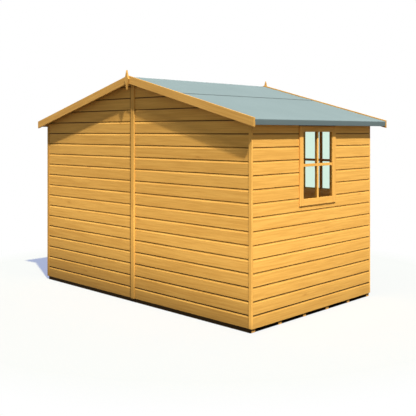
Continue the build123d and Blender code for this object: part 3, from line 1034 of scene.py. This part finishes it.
bpy.ops.mesh.primitive_plane_add(size=ground_size)
ground = bpy.context.object
ground.name = "studio_floor"
floor_finish, shade = new_finish("studio_floor")
place = shade.node("ShaderNodeTexCoord", {}, {}, "Object")
# Painted shade: the floor is nearly black under the shed and a little past its bearers, as a contact shadow.
half_length = (bearer_high.y - bearer_low.y) / 2 + painted_shadow_spread
off_side = place.along((1, 0, 0)).size()
off_end = (place.along((0, 1, 0)) - (bearer_low.y + bearer_high.y) / 2).size()
inside_side = ((bearer_high.x - off_side) * (1 / gap_softness)).limited()
inside_end = ((half_length - off_end) * (1 / gap_softness)).limited()
under = shade.maths("MINIMUM", inside_side, inside_end)
bounce = shade.node("ShaderNodeBsdfDiffuse", {}, {"Color": (0.125, 0.125, 0.12, 1)})
lit = shade.node("ShaderNodeBsdfDiffuse", {}, {"Color": (0.338, 0.319, 0.19, 1)})
sky_glow = shade.node("ShaderNodeEmission", {}, {"Color": (0.295, 0.357, 0.595, 1), "Strength": 1.0})
pool = shade.node("ShaderNodeAddShader", {}, {0: lit, 1: sky_glow})
distance = shade.node("ShaderNodeVectorMath", {"operation": "LENGTH"}, {0: place}, "Value")
far_off = ((distance - pool_radius) * (1 / pool_fade)).limited()
white = shade.node("ShaderNodeEmission", {}, {"Color": (1, 1, 1, 1), "Strength": 1.0})
open_ground = shade.node("ShaderNodeMixShader", {}, {0: far_off, 1: pool, 2: white})
painted_shade_under_shed = shade.node("ShaderNodeBsdfDiffuse", {}, {"Color": (0.03, 0.025, 0.02, 1)})
shown = shade.node("ShaderNodeMixShader", {}, {0: under, 1: open_ground, 2: painted_shade_under_shed})
surface = shade.node("ShaderNodeMixShader", {}, {0: seen_share(shade), 1: bounce, 2: shown})
shade.node("ShaderNodeOutputMaterial", {}, {"Surface": surface})
ground.data.materials.append(floor_finish)

world = bpy.data.worlds.new("studio")
bpy.context.scene.world = world
world.use_nodes = True
world.node_tree.nodes.clear()
shade = Shade(world.node_tree)
fill = shade.node("ShaderNodeBackground", {}, {"Color": (0.93, 0.97, 1.0, 1), "Strength": 0.41})
white = shade.node("ShaderNodeBackground", {}, {"Color": (1, 1, 1, 1), "Strength": 1.0})
surface = shade.node("ShaderNodeMixShader", {}, {0: seen_share(shade), 1: fill, 2: white})
shade.node("ShaderNodeOutputWorld", {}, {"Surface": surface})

# Light
# A clear sun at the photograph's angle, and a steep soft sun that fills the shade on the shed but leaves out
# the floor, so that there is one shadow. A small lamp in the room stands for what comes in by the windows.
sun_towards = (0.512, -0.231, 0.832)
sun_strength = 6.1
sun_spread = 1.5
fill_towards = (0.0, -0.28, 0.96)
fill_strength = 2.58
fill_spread = 7.0
lamp_strength = 4.4
lamp_radius = 0.3
lamp_place = (0.7, 0.0, 1.3)


def add_lamp(name, kind, strength, colour):
    """A lamp and the object that holds it."""
    lamp = bpy.data.lights.new(name, kind)
    lamp.energy = strength
    lamp.color = colour
    holder = bpy.data.objects.new(name, lamp)
    bpy.context.scene.collection.objects.link(holder)
    return lamp, holder


def add_sun(name, towards, strength, spread, colour):
    """A lamp far away in one direction."""
    lamp, sun = add_lamp(name, "SUN", strength, colour)
    lamp.angle = math.radians(spread)
    sun.rotation_euler = Vector(towards).to_track_quat("Z", "Y").to_euler()
    return sun


add_sun("sun", sun_towards, sun_strength, sun_spread, (1.0, 0.98, 0.94))
fill_sun = add_sun("fill_sun", fill_towards, fill_strength, fill_spread, (1.0, 0.98, 0.95))
unlit = bpy.data.collections.new("without_fill_sun")
unlit.objects.link(ground)
unlit.collection_objects[0].light_linking.link_state = "EXCLUDE"
fill_sun.light_linking.receiver_collection = unlit
room_lamp, room_light = add_lamp("room_light", "POINT", lamp_strength, (1.0, 0.98, 0.95))
room_lamp.shadow_soft_size = lamp_radius
room_light.location = lamp_place
room_light.visible_camera = False

# Camera
# The camera stands at the photograph's place. It is level, with the lens shifted down, so that the upright
# edges of the shed stay upright.
picture_side = 416
horizon_row = 132.03
lens_pixels = 687.63
sensor = 36.0
camera_place = (5.1239, -5.1588, 1.6284)
camera_turn = 0.7752
camera_data = bpy.data.cameras.new("camera")
camera_data.sensor_width = sensor
camera_data.lens = lens_pixels / picture_side * sensor
camera_data.shift_y = (horizon_row - picture_side / 2) / picture_side
camera = bpy.data.objects.new("camera", camera_data)
camera.location = camera_place
camera.rotation_euler = (math.radians(90), 0, camera_turn)
bpy.context.scene.collection.objects.link(camera)
bpy.context.scene.camera = camera
bpy.context.scene.view_settings.view_transform = "Standard"
